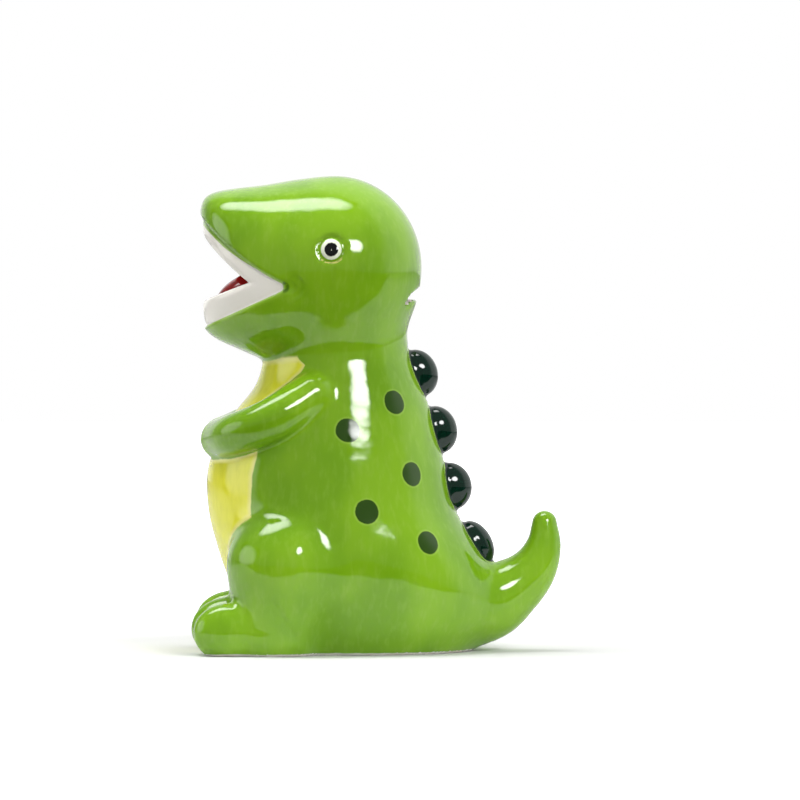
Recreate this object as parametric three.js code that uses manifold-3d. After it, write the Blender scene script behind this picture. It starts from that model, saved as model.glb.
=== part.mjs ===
// Dinosaur coin bank: a hollow glazed casting of a sitting dinosaur, and the rubber stopper in its base.
// Millimetres, +Z up, the snout towards -Y. The origin is on the floor, under the middle of the casting.
import * as THREE from 'three';
import { mergeVertices } from 'three/addons/utils/BufferGeometryUtils.js';
import Module from 'manifold-3d';

const wasm = await Module();
wasm.setup();

// ---- Driving dimensions ----
const crownHeight = 200;
const wall = 4; // thickness of the cast clay
const footing = 5; // thickness of the floor of the casting

const skull = { y: -17.5, z: 162, half: 41, depth: 36.4, height: crownHeight - 161.6 }; // nearly a ball
const noseTip = -74.6;
const mouthCorner = { y: -36.3, z: 154.3 };
const gapApex = { y: -53.4, z: 155.6 };
const lipDepth = 1.3; // how far the gums lie inside the lips
const gumDepth = 6.5; // how far inside the lips the hollow of the mouth starts

const spikePitch = 23.9;
const topSpikeHeight = 117.2;
const spikeRadii = { along: 10.2, side: 7.6 };
const spikeOut = [8.6, 8.6, 9.3, 6.7]; // from the top; the lowest one sits in the crook of the tail

const slot = { width: 36, height: 5, level: 148, from: 4, to: 30 };
const eye = { y: -18.8, z: 169.4, radius: 4.3, bulge: 1.1 };

const hole = { radius: 17, seatRadius: 21, seatDepth: 2.4, y: -10 };
const fitGap = 0.3; // clearance between the stopper and the clay

// ---- Station tables: what changes along an axis ----
// Height above the floor, front of the trunk, back of the trunk, half width.
const trunkStations = [
  [-6, -52, 33, 34],
  [4, -56, 42, 38.5],
  [14, -58, 49, 42.3],
  [26, -61, 50, 45.6],
  [40, -66, 45, 47.8],
  [60, -71, 33.4, 46.2],
  [80, -70.6, 28.7, 43],
  [100, -60.4, 23.4, 38],
  [112, -51.4, 19.1, 34.6],
  [124, -47.5, 14.6, 31.2],
  [144, -42, 9, 27],
];
const napeStations = [
  [116, -44, 10, 29],
  [126, -47, 12.3, 30.5],
  [138, -46, 12.8, 34.5],
  [150, -42, 14.4, 36.8],
  [166, -38, 13, 36],
];

// Length, top and underside of the head, half width, and how square its section is (2 is an ellipse).
const muzzleStations = [
  [-84, 191.4, 139.5, 23, 2.7],
  [-73.8, 193, 134.5, 27, 2.7],
  [-61.4, 194.9, 128.8, 31.6, 2.6],
  [-47.5, 196.6, 123.4, 36.2, 2.4],
  [-33.5, 198.9, 122.6, 39.6, 2.15],
  [skull.y, crownHeight + 0.4, 123.6, skull.half, 2],
  [-1.5, 198.9, 122.6, 39.6, 2],
];

// Half width, length and height of the centre, radius. Each list runs along the middle of a limb.
const tailPath = [
  [0, 70.8, 54, 5.2],
  [0, 70.3, 44, 7.4],
  [0, 65.6, 34, 10],
  [0, 56.6, 26, 13],
  [0, 44, 20.2, 17],
  [0, 22, 20, 20],
];
const armPath = [
  [31, -27, 108.5, 9.5],
  [38, -44, 98.2, 9.2],
  [31, -58, 92.6, 8.8],
  [12, -65.4, 89.8, 8.6],
];
const thighPath = [
  [31, -37, 36.4, 25],
  [26, -6, 31, 16],
];
const shankPath = [
  [31, -37, 36.4, 24.5],
  [32, -42, 9, 18.5],
];
const toes = [
  { x: 17, y: -62.5, z: 9.5, length: 13.5, height: 11 },
  { x: 29, y: -62, z: 11, length: 15.5, height: 13 },
  { x: 41, y: -62.2, z: 9.8, length: 14, height: 12.2 },
];
const toeHalfWidth = 8.4;
const footPad = { x: 29, y: -46, z: 6, half: 18, depth: 22, height: 13 };

// ---- Shapes as signed distances: negative inside, in millimetres ----
function smoothUnion(a, b, reach) {
  const h = Math.max(reach - Math.abs(a - b), 0) / reach;
  return Math.min(a, b) - (h * h * h * reach) / 6;
}

function smoothOverlap(a, b, reach) {
  return -smoothUnion(-a, -b, reach);
}

function oval(dx, dz, half, height, power) {
  const [u, v] = [Math.abs(dx) / half, Math.abs(dz) / height];
  const near = (u ** power + v ** power) ** (1 / power) + 1e-9;
  const slope = Math.hypot(u ** (power - 1) / half, v ** (power - 1) / height) / near ** (power - 1);
  return (near - 1) / (slope + 1e-9);
}

function ellipsoid(dx, dy, dz, rx, ry, rz) {
  const near = Math.hypot(dx / rx, dy / ry, dz / rz);
  const slope = Math.hypot(dx / (rx * rx), dy / (ry * ry), dz / (rz * rz));
  return slope < 1e-9 ? -Math.min(rx, ry, rz) : (near * (near - 1)) / slope;
}

// Rows read at any place along the first column, on a smooth curve through all of them.
function stations(rows) {
  const slopes = rows.map((row, i) => {
    const before = rows[Math.max(i - 1, 0)];
    const after = rows[Math.min(i + 1, rows.length - 1)];
    return row.map((value, k) => (after[k] - before[k]) / (after[0] - before[0]));
  });
  return (place) => {
    const t = Math.min(Math.max(place, rows[0][0]), rows[rows.length - 1][0]);
    let i = 0;
    while (i < rows.length - 2 && t > rows[i + 1][0]) i += 1;
    const span = rows[i + 1][0] - rows[i][0];
    const u = (t - rows[i][0]) / span;
    const ends = [(1 + 2 * u) * (1 - u) ** 2, u * u * (3 - 2 * u)];
    const bends = [u * (1 - u) ** 2 * span, u * u * (u - 1) * span];
    return rows[i].map((value, k) => (
      ends[0] * value + ends[1] * rows[i + 1][k] + bends[0] * slopes[i][k] + bends[1] * slopes[i + 1][k]
    ));
  };
}

// Round cones end to end along a smooth curve through the path, rounded at both ends.
function taperedTube(path, pieces) {
  const at = stations(path.map((row, i) => [i, ...row]));
  const rings = Array.from({ length: pieces + 1 }, (_, i) => at((i * (path.length - 1)) / pieces).slice(1));
  return (x, y, z) => {
    let nearest = Infinity;
    for (let i = 0; i < pieces; i += 1) {
      const [a, b] = [rings[i], rings[i + 1]];
      const along = [b[0] - a[0], b[1] - a[1], b[2] - a[2]];
      const length2 = along[0] ** 2 + along[1] ** 2 + along[2] ** 2;
      const dot = (x - a[0]) * along[0] + (y - a[1]) * along[1] + (z - a[2]) * along[2];
      const t = Math.min(Math.max(dot / length2, 0), 1);
      const away = Math.hypot(x - a[0] - t * along[0], y - a[1] - t * along[1], z - a[2] - t * along[2]);
      nearest = Math.min(nearest, away - a[3] - t * (b[3] - a[3]));
    }
    return nearest;
  };
}

// ---- The pieces of the figure ----
const trunkAt = stations(trunkStations);
const muzzleAt = stations(muzzleStations);
const tail = taperedTube(tailPath, 12);
const arm = taperedTube(armPath, 9);
const thigh = taperedTube(thighPath, 1);
const shank = taperedTube(shankPath, 1);

function column(rows) {
  const at = stations(rows);
  return (x, y, z) => {
    const [, front, back, half] = at(z);
    return oval(x, y - (front + back) / 2, half, (back - front) / 2, 2);
  };
}

const trunkWall = column(trunkStations);
const napeWall = column(napeStations);

function trunk(x, y, z) {
  return smoothOverlap(Math.max(trunkWall(x, y, z), -5 - z), z - 140, 14);
}

function nape(x, y, z) {
  return smoothOverlap(smoothOverlap(napeWall(x, y, z), 123.4 - z, 5), z - 160, 10);
}

function muzzle(x, y, z) {
  const [, top, under, half, power] = muzzleAt(y);
  const sides = oval(x, z - (top + under) / 2, half, (top - under) / 2, power);
  return smoothOverlap(sides, Math.hypot(x, y + 27) + 27 + noseTip, 13);
}

// The slanting V between two edges that start at a point and curve forward: negative inside it.
function wedge(y, z, start, rise, curl, fall) {
  const s = start.y - y;
  const above = (z - start.z - rise * s - curl * s * s) / Math.hypot(1, rise + 2 * curl * Math.max(s, 0));
  const below = (start.z - fall * s - z) / Math.hypot(1, fall);
  return Math.max(above, below);
}

function head(x, y, z) {
  const ball = ellipsoid(x, y - skull.y, z - skull.z, skull.half, skull.depth, skull.height);
  const full = smoothUnion(y > skull.y ? ball : muzzle(x, y, z), nape(x, y, z), 8);
  const lips = wedge(y, z, mouthCorner, 0.379, 0.0099, 0.455);
  const gap = wedge(y, z, gapApex, 0.75, 0.012, 0.385);
  const skin = smoothOverlap(full, -lips, 1.6);
  const gums = smoothOverlap(full + lipDepth, -gap, 3);
  const mouth = smoothOverlap(gap - 6, full + gumDepth, 4);
  const jaws = smoothOverlap(smoothUnion(skin, gums, 0.8), -mouth, 3);
  return smoothUnion(jaws, tongue(x, y, z), 2);
}

function tongue(x, y, z) {
  const [rise, run] = [Math.sin(0.4), Math.cos(0.4)];
  const along = (y + 53.5) * run + (z - 155) * rise;
  const across = -(y + 53.5) * rise + (z - 155) * run;
  return ellipsoid(x, along, across, 13, 16, 4.8);
}

function foot(x, y, z) {
  const [dx, dy, dz] = [x - footPad.x, y - footPad.y, z - footPad.z];
  let distance = ellipsoid(dx, dy, dz, footPad.half, footPad.depth, footPad.height);
  for (const toe of toes) {
    const one = ellipsoid(x - toe.x, y - toe.y, z - toe.z, toeHalfWidth, toe.length, toe.height);
    distance = smoothUnion(distance, one, 3);
  }
  return distance;
}

const spikes = spikeOut.map((out, i) => {
  const z = topSpikeHeight - i * spikePitch;
  const [, , above] = trunkAt(z + 9);
  const [, , below] = trunkAt(z - 9);
  const lean = Math.atan2(below - above, 18);
  const [, , back] = trunkAt(z);
  return { y: back, z, out, sin: Math.sin(lean), cos: Math.cos(lean) };
});

function spike(place, x, y, z) {
  const out = (y - place.y) * place.cos + (z - place.z) * place.sin;
  const along = -(y - place.y) * place.sin + (z - place.z) * place.cos;
  return ellipsoid(x, out, along, spikeRadii.side, place.out, spikeRadii.along);
}

// Each piece is asked only where it can reach.
function figure(xSigned, y, z) {
  const x = Math.abs(xSigned);
  let distance = trunk(x, y, z);
  if (y > -10 && z < 75) distance = smoothUnion(distance, tail(x, y, z), 10);
  if (z < 80) distance = smoothUnion(distance, smoothUnion(thigh(x, y, z), shank(x, y, z), 6), 9);
  if (y < -15 && z < 42) distance = smoothUnion(distance, foot(x, y, z), 6);
  if (z > 110) distance = smoothUnion(distance, head(x, y, z), 4);
  if (y < -5 && z > 65 && z < 135) distance = smoothUnion(distance, arm(x, y, z), 5);
  if (y < 0 || z < 25 || z > 135) return distance;
  for (const place of spikes) distance = smoothUnion(distance, spike(place, x, y, z), 2);
  return distance;
}

function hollow(x, y, z) {
  return smoothOverlap(figure(x, y, z) + wall, footing - z, 6);
}

// ---- Meshing ----
const corners = [[0, 0, 0], [1, 0, 0], [0, 1, 0], [1, 1, 0], [0, 0, 1], [1, 0, 1], [0, 1, 1], [1, 1, 1]];
const tetrahedra = [[0, 1, 3, 7], [0, 3, 2, 7], [0, 2, 6, 7], [0, 6, 4, 7], [0, 4, 5, 7], [0, 5, 1, 7]];

// Cuts a grid of cubes, six tetrahedra to each, where the shape's distance passes zero.
function polygonise(shape, low, high, step) {
  const size = low.map((value, k) => Math.ceil((high[k] - value) / step) + 1);
  const at = (i, j, k) => i + size[0] * (j + size[1] * k);
  const values = new Float64Array(size[0] * size[1] * size[2]);
  const place = (i, j, k) => [low[0] + i * step, low[1] + j * step, low[2] + k * step];
  for (let k = 0; k < size[2]; k += 1) {
    for (let j = 0; j < size[1]; j += 1) {
      for (let i = 0; i < size[0]; i += 1) values[at(i, j, k)] = shape(...place(i, j, k)) || 1e-7;
    }
  }
  const points = [];
  const faces = [];
  const known = new Map();
  const crossing = (a, b) => {
    const [p, q] = a.id < b.id ? [a, b] : [b, a];
    const key = p.id * values.length + q.id;
    if (!known.has(key)) {
      const t = values[p.id] / (values[p.id] - values[q.id]);
      known.set(key, points.length);
      points.push(p.at.map((value, n) => value + t * (q.at[n] - value)));
    }
    return known.get(key);
  };
  for (let k = 0; k < size[2] - 1; k += 1) {
    for (let j = 0; j < size[1] - 1; j += 1) {
      for (let i = 0; i < size[0] - 1; i += 1) {
        const cube = corners.map(([a, b, c]) => at(i + a, j + b, k + c));
        const below = cube.filter((id) => values[id] < 0).length;
        if (below === 0 || below === 8) continue;
        const spots = corners.map(([a, b, c], n) => ({ id: cube[n], at: place(i + a, j + b, k + c) }));
        for (const tetrahedron of tetrahedra) {
          const inner = tetrahedron.filter((n) => values[cube[n]] < 0);
          const outer = tetrahedron.filter((n) => values[cube[n]] >= 0);
          if (inner.length === 0 || outer.length === 0) continue;
          const order = [...inner, ...outer].map((n) => tetrahedron.indexOf(n));
          const swaps = order.flatMap((a, m) => order.slice(m + 1).filter((b) => b < a)).length;
          const cut = (a, b) => crossing(spots[a], spots[b]);
          const [a, b, c, d] = [...inner, ...outer];
          let ring = [cut(a, c), cut(a, d), cut(b, d), cut(b, c)];
          if (inner.length === 1) ring = [cut(a, b), cut(a, c), cut(a, d)];
          if (inner.length === 3) ring = [cut(a, d), cut(b, d), cut(c, d)];
          if (swaps % 2 === 1) ring.reverse();
          faces.push(ring.slice(0, 3));
          if (ring.length === 4) faces.push([ring[0], ring[2], ring[3]]);
        }
      }
    }
  }
  return { points, faces };
}

// Moves each point along the shape's slope until it lies on the surface.
function settle(shape, points, turns, limit) {
  const e = 0.02;
  for (const p of points) {
    for (let turn = 0; turn < turns; turn += 1) {
      const value = shape(...p);
      const slope = [0, 1, 2].map((k) => {
        const ahead = [...p];
        ahead[k] += e;
        return (shape(...ahead) - value) / e;
      });
      const steep = Math.max(slope[0] ** 2 + slope[1] ** 2 + slope[2] ** 2, 0.2);
      slope.forEach((part, k) => {
        p[k] -= Math.min(Math.max((value * part) / steep, -limit), limit);
      });
    }
  }
}

// Plane quadrics: the ten numbers of a symmetric 4 x 4 matrix that sums squared distances to planes.
function addPlane(quadric, [a, b, c, d], weight) {
  [a * a, a * b, a * c, a * d, b * b, b * c, b * d, c * c, c * d, d * d].forEach((value, k) => {
    quadric[k] += value * weight;
  });
}

function quadricError(q, [x, y, z]) {
  return q[0] * x * x + q[4] * y * y + q[7] * z * z + q[9]
    + 2 * (q[1] * x * y + q[2] * x * z + q[3] * x + q[5] * y * z + q[6] * y + q[8] * z);
}

function quadricBest(q, fallback) {
  const matrix = new THREE.Matrix3().set(q[0], q[1], q[2], q[1], q[4], q[5], q[2], q[5], q[7]);
  const size = q[0] + q[4] + q[7];
  if (Math.abs(matrix.determinant()) < 1e-5 * size ** 3) return fallback;
  return new THREE.Vector3(-q[3], -q[6], -q[8]).applyMatrix3(matrix.invert()).toArray();
}

// Collapses the edges that matter least, one at a time, until the mesh has the wanted number of faces.
function simplify(mesh, wanted) {
  const points = mesh.points.map((p) => [...p]);
  const faces = mesh.faces.map((f) => [...f]);
  const around = points.map(() => new Set());
  const quadrics = points.map(() => new Float64Array(10));
  const stamp = new Uint32Array(points.length);
  const vector = (n) => new THREE.Vector3(...points[n]);
  const normalOf = ([a, b, c]) => vector(b).sub(vector(a)).cross(vector(c).sub(vector(a)));
  faces.forEach((f, n) => {
    const normal = normalOf(f);
    const area = normal.length() / 2;
    normal.normalize();
    const plane = [...normal.toArray(), -normal.dot(vector(f[0]))];
    for (const v of f) {
      around[v].add(n);
      addPlane(quadrics[v], plane, area);
    }
  });
  const neighbours = (v) => new Set([...around[v]].flatMap((n) => faces[n]).filter((other) => other !== v));
  const heap = [];
  const swap = (i, j) => { [heap[i], heap[j]] = [heap[j], heap[i]]; };
  const push = (item) => {
    heap.push(item);
    let i = heap.length - 1;
    while (i > 0 && heap[(i - 1) >> 1].cost > heap[i].cost) {
      swap(i, (i - 1) >> 1);
      i = (i - 1) >> 1;
    }
  };
  const pop = () => {
    swap(0, heap.length - 1);
    const item = heap.pop();
    let i = 0;
    for (;;) {
      const [l, r] = [2 * i + 1, 2 * i + 2];
      let least = i;
      if (l < heap.length && heap[l].cost < heap[least].cost) least = l;
      if (r < heap.length && heap[r].cost < heap[least].cost) least = r;
      if (least === i) return item;
      swap(i, least);
      i = least;
    }
  };
  const offer = (a, b) => {
    const sum = quadrics[a].map((value, k) => value + quadrics[b][k]);
    const middle = points[a].map((value, k) => (value + points[b][k]) / 2);
    const length = Math.hypot(...points[a].map((value, k) => value - points[b][k]));
    let spot = quadricBest(sum, middle);
    if (Math.hypot(...spot.map((value, k) => value - middle[k])) > length) spot = middle;
    const cost = Math.max(quadricError(sum, spot), 0) + 1e-4 * length ** 4;
    push({ cost, a, b, spot, stamps: [stamp[a], stamp[b]] });
  };
  faces.forEach((f) => [[0, 1], [1, 2], [2, 0]].forEach(([i, j]) => {
    if (f[i] < f[j]) offer(f[i], f[j]);
  }));
  let count = faces.length;
  const turnsOver = (v, gone, spot) => [...around[v]].some((n) => {
    if (faces[n].includes(gone)) return false;
    const before = normalOf(faces[n]).normalize();
    const kept = points[v];
    points[v] = spot;
    const after = normalOf(faces[n]);
    points[v] = kept;
    return after.length() < 1e-3 || before.dot(after.normalize()) < 0.35;
  });
  while (count > wanted && heap.length) {
    const { a, b, spot, stamps } = pop();
    if (stamps[0] !== stamp[a] || stamps[1] !== stamp[b]) continue;
    const near = neighbours(b);
    const shared = [...neighbours(a)].filter((v) => near.has(v));
    if (shared.length !== 2 || turnsOver(a, b, spot) || turnsOver(b, a, spot)) continue;
    points[a] = spot;
    quadrics[a] = quadrics[a].map((value, k) => value + quadrics[b][k]);
    for (const n of [...around[b]]) {
      if (faces[n].includes(a)) {
        faces[n].forEach((v) => around[v].delete(n));
        faces[n] = null;
        count -= 1;
      } else {
        faces[n] = faces[n].map((v) => (v === b ? a : v));
        around[a].add(n);
      }
    }
    around[b] = new Set();
    stamp[a] += 1;
    stamp[b] += 1;
    for (const v of neighbours(a)) offer(Math.min(a, v), Math.max(a, v));
  }
  const used = new Map();
  const kept = faces.filter(Boolean).map((f) => f.map((v) => {
    if (!used.has(v)) used.set(v, used.size);
    return used.get(v);
  }));
  return { points: [...used.keys()].map((v) => points[v]), faces: kept };
}

// Leaves out pockets that the main surface doesn't reach, such as the middle of a hand.
function mainSurface({ points, faces }) {
  const parent = points.map((_, v) => v);
  const root = (v) => {
    let top = v;
    while (parent[top] !== top) top = parent[top];
    for (let at = v; at !== top;) [at, parent[at]] = [parent[at], top];
    return top;
  };
  for (const [a, b, c] of faces) {
    parent[root(a)] = root(b);
    parent[root(b)] = root(c);
  }
  const counts = new Map();
  for (const [a] of faces) counts.set(root(a), (counts.get(root(a)) ?? 0) + 1);
  const [[largest]] = [...counts].sort((one, other) => other[1] - one[1]);
  return { points, faces: faces.filter(([a]) => root(a) === largest) };
}

function shell(shape, low, high, step, wanted) {
  const fine = mainSurface(polygonise(shape, low, high, step));
  settle(shape, fine.points, 1, step / 3);
  const light = simplify(fine, wanted);
  settle(shape, light.points, 3, step / 4);
  return new wasm.Manifold(new wasm.Mesh({
    numProp: 3,
    vertProperties: new Float32Array(light.points.flat()),
    triVerts: new Uint32Array(light.faces.flat()),
  }));
}

function toSolid(geometry, ...moves) {
  let bare = geometry.index ? geometry : mergeVertices(geometry);
  bare = bare.clone();
  bare.deleteAttribute('normal');
  bare.deleteAttribute('uv');
  for (const move of moves) bare.applyMatrix4(move);
  bare = mergeVertices(bare, 1e-4);
  return new wasm.Manifold(new wasm.Mesh({
    numProp: 3,
    vertProperties: new Float32Array(bare.attributes.position.array),
    triVerts: new Uint32Array(bare.index.array),
  }));
}

function toGeometry(solid) {
  const mesh = solid.getMesh();
  const geometry = new THREE.BufferGeometry();
  geometry.setAttribute('position', new THREE.BufferAttribute(new Float32Array(mesh.vertProperties), 3));
  geometry.setIndex(new THREE.BufferAttribute(new Uint32Array(mesh.triVerts), 1));
  geometry.computeVertexNormals();
  return geometry;
}

const shift = (x, y, z) => new THREE.Matrix4().makeTranslation(x, y, z);

// ---- Cutters and small solids ----
function floorCutter() {
  return toSolid(new THREE.BoxGeometry(400, 400, 100), shift(0, 0, -50));
}

// A flat bar with round ends, pushed level through the nape.
function slotCutter() {
  const [half, end] = [slot.width / 2, slot.height / 2];
  const outline = new THREE.Shape();
  outline.absarc(half - end, 0, end, -Math.PI / 2, Math.PI / 2);
  outline.absarc(end - half, 0, end, Math.PI / 2, (3 * Math.PI) / 2);
  const bar = new THREE.ExtrudeGeometry(outline, {
    depth: slot.to - slot.from,
    bevelEnabled: false,
    curveSegments: 6,
  });
  return toSolid(bar, new THREE.Matrix4().makeRotationX(Math.PI / 2), shift(0, slot.to, slot.level));
}

function turned(profile, segments = 32) {
  const lathe = new THREE.LatheGeometry(profile.map(([r, z]) => new THREE.Vector2(r, z)), segments);
  return toSolid(lathe, new THREE.Matrix4().makeRotationX(Math.PI / 2), shift(0, hole.y, 0));
}

function holeCutter() {
  return turned([
    [0, -1],
    [hole.seatRadius, -1],
    [hole.seatRadius, hole.seatDepth],
    [hole.radius, hole.seatDepth],
    [hole.radius, footing + 6],
    [0, footing + 6],
  ]);
}

// Flange, groove for the clay edge, and a tapered plug with a hollow top.
function stopperSolid() {
  const rim = hole.seatRadius - fitGap;
  const plug = hole.radius - fitGap;
  const underside = 0.8;
  const seat = hole.seatDepth - fitGap;
  return turned([
    [0, underside],
    [rim - 0.8, underside],
    [rim, underside + 0.6],
    [rim, seat],
    [plug, seat],
    [plug, footing + 1],
    [plug - 1.6, footing + 4],
    [plug - 4.5, footing + 4],
    [plug - 5.5, seat + 1],
    [0, seat + 1],
  ]);
}

function eyeSolid(side) {
  const x = skull.half * Math.sqrt(1 - ((eye.z - skull.z) / skull.height) ** 2);
  const ball = new THREE.SphereGeometry(1, 20, 12);
  const depth = 2;
  return toSolid(
    ball,
    new THREE.Matrix4().makeScale(depth, eye.radius, eye.radius),
    shift(side * (x - depth + eye.bulge), eye.y, eye.z),
  );
}

function dinosaurSolid() {
  const outside = shell(figure, [-66, -84, -13.4], [66, 84, 208], 1.8, 7300);
  const inside = shell(hollow, [-63, -81, 1], [63, 81, 207], 3.2, 1150);
  return outside
    .add(eyeSolid(1))
    .add(eyeSolid(-1))
    .subtract(floorCutter())
    .subtract(inside)
    .subtract(slotCutter())
    .subtract(holeCutter());
}

function piece(name, solid, material) {
  const mesh = new THREE.Mesh(toGeometry(solid), new THREE.MeshStandardMaterial(material));
  mesh.name = name;
  return mesh;
}

const bank = new THREE.Group();
bank.name = 'dinosaur_coin_bank';
bank.add(piece('dinosaur_body', dinosaurSolid(), { color: 0x6fa52c, roughness: 0.12, metalness: 0 }));
bank.add(piece('stopper', stopperSolid(), { color: 0x2b2b2a, roughness: 0.7, metalness: 0 }));

export default bank;
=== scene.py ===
import math
import bpy
import numpy as np
import openvdb
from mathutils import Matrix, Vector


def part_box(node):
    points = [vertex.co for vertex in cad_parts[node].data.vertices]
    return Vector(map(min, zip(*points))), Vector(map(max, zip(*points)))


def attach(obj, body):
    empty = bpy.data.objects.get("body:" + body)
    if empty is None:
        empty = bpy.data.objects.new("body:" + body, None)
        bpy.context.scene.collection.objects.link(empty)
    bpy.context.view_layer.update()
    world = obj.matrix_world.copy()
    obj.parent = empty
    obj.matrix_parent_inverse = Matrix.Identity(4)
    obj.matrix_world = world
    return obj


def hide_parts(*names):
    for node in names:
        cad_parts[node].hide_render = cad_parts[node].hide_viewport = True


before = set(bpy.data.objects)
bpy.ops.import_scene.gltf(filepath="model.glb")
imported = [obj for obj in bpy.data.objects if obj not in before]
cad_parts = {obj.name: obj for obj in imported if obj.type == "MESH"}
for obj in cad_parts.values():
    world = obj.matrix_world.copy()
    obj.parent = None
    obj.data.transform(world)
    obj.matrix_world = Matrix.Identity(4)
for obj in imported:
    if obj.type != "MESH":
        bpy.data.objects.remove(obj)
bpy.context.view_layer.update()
mm = 0.001

# Shapes are worked out in millimetres as distances, negative inside, in the frame's own axes.
# The snout is towards -Y and the figure is the same on both sides of X = 0.


def smoothUnion(a, b, reach):
    # two shapes as one, with a fillet wherever their distances differ by less than reach
    h = np.maximum(reach - np.abs(a - b), 0) / reach
    return np.minimum(a, b) - h * h * h * reach / 6


def smoothOverlap(a, b, reach):
    return -smoothUnion(-a, -b, reach)


def hill(away, middle, width):
    # 1 where away is middle, fading to nothing on both sides
    return np.exp(-((away - middle) / width) ** 2)


def oval(dx, dz, half, height, power):
    # distance to the outline of a rounded section; power 2 is an ellipse, more is squarer
    u = np.abs(dx) / half
    v = np.abs(dz) / height
    near = (u ** power + v ** power) ** (1 / power) + 1e-9
    slope = np.hypot(u ** (power - 1) / half, v ** (power - 1) / height) / near ** (power - 1)
    return (near - 1) / (slope + 1e-9)


def ellipsoid(dx, dy, dz, rx, ry, rz):
    near = np.sqrt((dx / rx) ** 2 + (dy / ry) ** 2 + (dz / rz) ** 2)
    slope = np.sqrt((dx / rx ** 2) ** 2 + (dy / ry ** 2) ** 2 + (dz / rz ** 2) ** 2)
    return near * (near - 1) / (slope + 1e-9)


def stations(rows):
    # rows read at any place along the first column, on a smooth curve through all of them
    table = np.array(rows, float)
    place = table[:, 0]
    last = len(table) - 1
    slopes = np.array([
        (table[min(i + 1, last)] - table[max(i - 1, 0)]) / (place[min(i + 1, last)] - place[max(i - 1, 0)])
        for i in range(last + 1)
    ])

    def read(where):
        t = np.clip(where, place[0], place[-1])
        i = np.clip(np.searchsorted(place, t, side="right") - 1, 0, last - 1)
        span = place[i + 1] - place[i]
        u = (t - place[i]) / span
        start, end = (1 + 2 * u) * (1 - u) ** 2, u * u * (3 - 2 * u)
        leave, arrive = u * (1 - u) ** 2 * span, u * u * (u - 1) * span
        return [start * table[i, k] + end * table[i + 1, k] + leave * slopes[i, k] + arrive * slopes[i + 1, k]
                for k in range(1, table.shape[1])]

    return read


def taperedTube(path, pieces):
    # round cones end to end along a smooth curve; each row of the path is half width, length, height, radius
    at = stations([[i, *row] for i, row in enumerate(path)])
    rings = [at(np.array(i * (len(path) - 1) / pieces)) for i in range(pieces + 1)]

    def distance(x, y, z):
        nearest = np.full(np.shape(x), 1e3)
        for a, b in zip(rings[:-1], rings[1:]):
            run = [b[k] - a[k] for k in range(3)]
            length2 = sum(r * r for r in run)
            t = np.clip(((x - a[0]) * run[0] + (y - a[1]) * run[1] + (z - a[2]) * run[2]) / length2, 0, 1)
            away = np.sqrt((x - a[0] - t * run[0]) ** 2 + (y - a[1] - t * run[1]) ** 2
                           + (z - a[2] - t * run[2]) ** 2)
            nearest = np.minimum(nearest, away - a[3] - t * (b[3] - a[3]))
        return nearest

    return distance


clay = {"wall": 4, "footing": 5, "footEdge": 1.6, "insideEdge": 6}

trunkStations = [  # height, front, back, half width
    [-6, -52, 33, 34],
    [4, -56, 42, 38.5],
    [14, -58, 49, 42.3],
    [26, -61, 50, 45.6],
    [40, -66, 45, 47.8],
    [60, -71, 33.4, 46.2],
    [80, -70.6, 28.7, 43],
    [100, -60.4, 23.4, 38],
    [112, -51.4, 19.1, 34.6],
    [124, -47.5, 14.6, 31.2],
    [144, -42, 9, 27],
]
trunkEnds = (-5, 140)
napeStations = [
    [116, -44, 10, 29],
    [126, -47, 12.3, 30.5],
    [138, -46, 12.8, 34.5],
    [150, -42, 14.4, 36.8],
    [166, -38, 13, 36],
]
tailPath = [
    [0, 70.8, 54, 5.2],
    [0, 70.3, 44, 7.4],
    [0, 65.6, 34, 10],
    [0, 56.6, 26, 13],
    [0, 44, 20.2, 17],
    [0, 22, 20, 20],
]
armPath = [
    [31, -27, 108.5, 9.5],
    [38, -44, 98.2, 9.2],
    [31, -58, 92.6, 8.8],
    [12, -65.4, 89.8, 8.6],
]
thighPath = [
    [31, -37, 36.4, 25],
    [26, -6, 31, 16],
]
shankPath = [
    [31, -37, 36.4, 24.5],
    [32, -42, 9, 18.5],
]
toes = [(17, -62.5, 9.5, 13.5, 11), (29, -62, 11, 15.5, 13), (41, -62.2, 9.8, 14, 12.2)]
footPad = {"place": (29, -46, 6), "radii": (18, 22, 13)}
toeHalfWidth = 8.4
legCrease = {"from": (-43.2, 23.4), "to": (-31.9, 5.3), "depth": 0.45, "width": 0.9, "outerSide": 25}

joins = {  # how far the clay is drawn together where two parts meet
    "toes": 3,
    "tail": 10,
    "leg": 6,
    "haunch": 9,
    "foot": 6,
    "nape": 8,
    "head": 3,
    "arm": 5,
    "spike": 1.2,
    "shoulders": 14,
}

trunkAt = stations(trunkStations)
napeAt = stations(napeStations)
tail = taperedTube(tailPath, 40)
arm = taperedTube(armPath, 24)
thigh = taperedTube(thighPath, 1)
shank = taperedTube(shankPath, 1)


def column(at, x, y, z):
    front, back, half = at(z)
    return oval(x, y - (front + back) / 2, half, (back - front) / 2, 2)


def trunk(x, y, z):
    wall = column(trunkAt, x, y, z)
    return smoothOverlap(np.maximum(wall, trunkEnds[0] - z), z - trunkEnds[1], joins["shoulders"])


def foot(x, y, z):
    (px, py, pz), radii = footPad["place"], footPad["radii"]
    distance = ellipsoid(x - px, y - py, z - pz, *radii)
    for tx, ty, tz, length, height in toes:
        toe = ellipsoid(x - tx, y - ty, z - tz, toeHalfWidth, length, height)
        distance = smoothUnion(distance, toe, joins["toes"])
    return distance


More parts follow.
